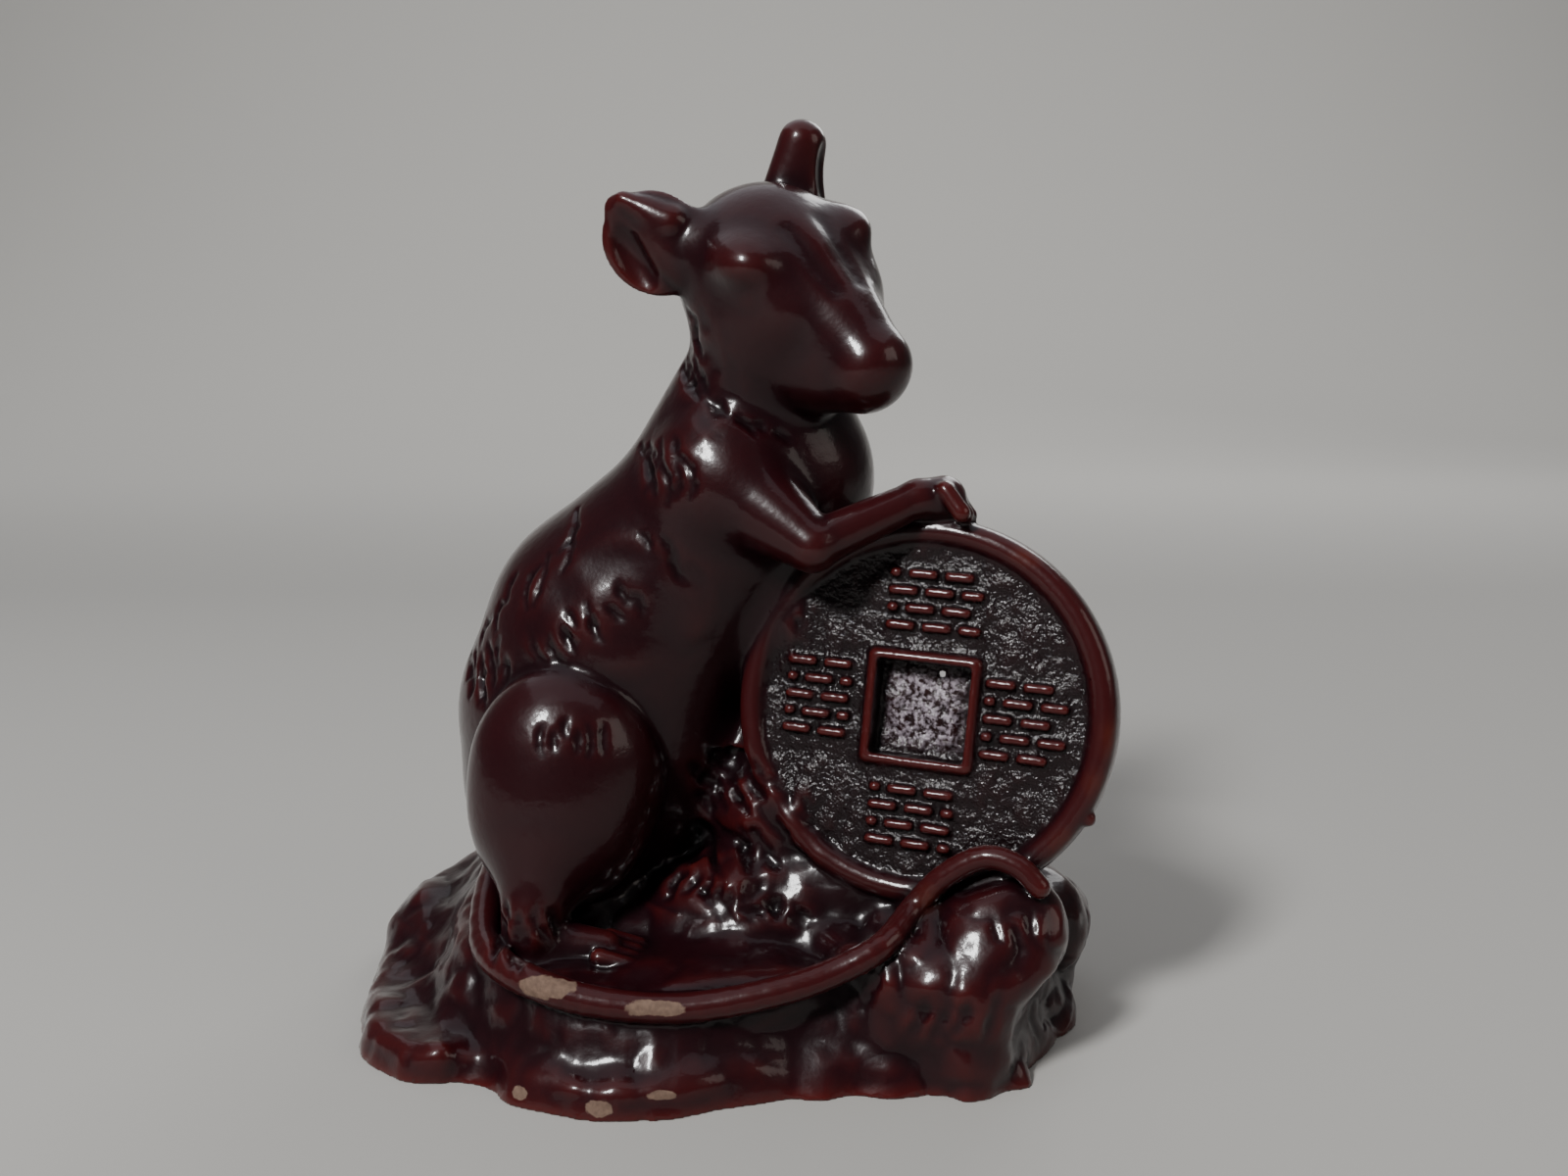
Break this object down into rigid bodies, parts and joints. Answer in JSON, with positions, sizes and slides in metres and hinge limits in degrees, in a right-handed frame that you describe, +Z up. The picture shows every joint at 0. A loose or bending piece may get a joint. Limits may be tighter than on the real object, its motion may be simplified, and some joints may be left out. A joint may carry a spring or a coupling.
{
  "type": "rat figurine",
  "caption": "Cast resin rat seated on a rock, with its front paws on a large round coin with a square hole.",
  "frame": {"origin": "middle of the flat underside of the rock, at the middle of the bounding box in X and Y", "axes": "+Z up; -Y is the front, where the coin shows its face; +X points to the side where the coin stands"},
  "size_m": [0.0686, 0.053, 0.0804],
  "materials": {
    "cast_resin": "dark red-brown stained cast resin under a gloss lacquer, near black in the recesses"
  },
  "bodies": {
    "root": {"rat_figurine": "cast_resin"}
  },
  "joints": []
}
